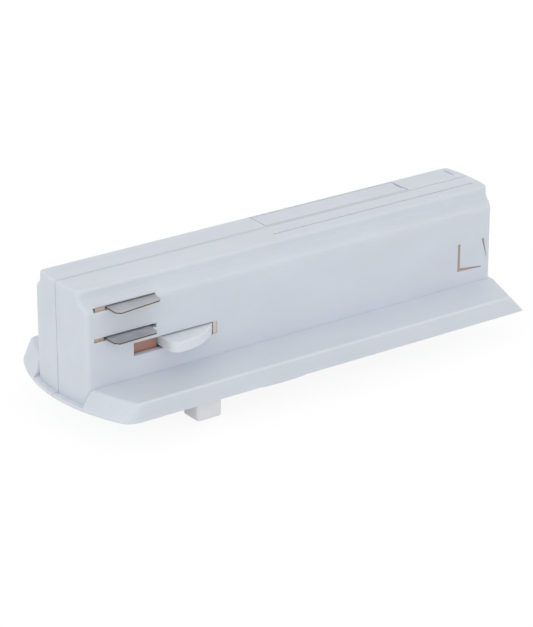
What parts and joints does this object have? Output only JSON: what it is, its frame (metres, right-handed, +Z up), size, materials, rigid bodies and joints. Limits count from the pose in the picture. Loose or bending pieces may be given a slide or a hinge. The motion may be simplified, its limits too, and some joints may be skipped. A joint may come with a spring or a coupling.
{
  "type": "track_light_adapter",
  "caption": "White track light adapter with a long split housing on a wide flange, sprung contact blades and locking tabs drawn in by one lever under the flange",
  "frame": {"origin": "middle of the housing in the plane of the flange's upper face", "axes": "+X runs along the housing away from the contacts, +Y across it, +Z up into the track"},
  "size_m": [0.1267, 0.0488, 0.0365],
  "materials": {
    "shell_plastic": "fine moulded texture",
    "lock_plastic": "moulded",
    "lever_plastic": "moulded",
    "frame_plastic": "moulded",
    "black_plastic": "moulded",
    "contact_metal": "brushed",
    "zinc_steel": "plated",
    "board_laminate": "coated laminate"
  },
  "bodies": {
    "housing": {"housing_near": "shell_plastic", "housing_far": "shell_plastic", "terminal_cover": "shell_plastic", "bottom_cover": "shell_plastic", "cover_screw_1": "zinc_steel", "cover_screw_2": "zinc_steel", "cover_screw_3": "zinc_steel", "cover_screw_4": "zinc_steel", "inner_frame": "frame_plastic", "selector_switch": "black_plastic", "nipple": "zinc_steel", "nipple_nut_inner": "zinc_steel", "nipple_nut_outer": "zinc_steel", "driver_board": "board_laminate", "transformer": "black_plastic", "capacitor_large": "black_plastic", "capacitor_small": "black_plastic", "terminal_block": "frame_plastic", "terminal_screw_1": "zinc_steel", "terminal_screw_2": "zinc_steel", "terminal_screw_3": "zinc_steel", "terminal_screw_4": "zinc_steel"},
    "lock": {"lock_rotor": "lock_plastic", "lock_crank": "frame_plastic", "lock_lever": "lever_plastic", "lever_screw": "zinc_steel"},
    "near_contacts": {"contact_carriage_near": "frame_plastic", "blade_near_lower": "contact_metal", "blade_near_upper": "contact_metal"},
    "far_contacts": {"contact_carriage_far": "frame_plastic", "blade_far_lower": "contact_metal", "blade_far_upper": "contact_metal"},
    "selector": {"selector_knob": "lever_plastic"}
  },
  "joints": [
    {"name": "lock_turn", "type": "hinge", "parent": "housing", "child": "lock", "pos_m": [-0.0379, 0, 0], "axis": [0, 0, 1], "range_deg": [0, 72]},
    {"name": "near_contact_slide", "type": "slide", "parent": "housing", "child": "near_contacts", "axis": [0, 1, 0], "range_m": [0, 0.005]},
    {"name": "far_contact_slide", "type": "slide", "parent": "housing", "child": "far_contacts", "axis": [0, -1, 0], "range_m": [0, 0.005]},
    {"name": "selector_turn", "type": "hinge", "parent": "housing", "child": "selector", "pos_m": [-0.0074, 0, 0], "axis": [0, 0, 1], "range_deg": [0, 90]}
  ],
  "couplings": [
    {"joint": "near_contact_slide", "follows": "lock_turn", "m_per_rad": 0.003979},
    {"joint": "far_contact_slide", "follows": "lock_turn", "m_per_rad": 0.003979}
  ]
}
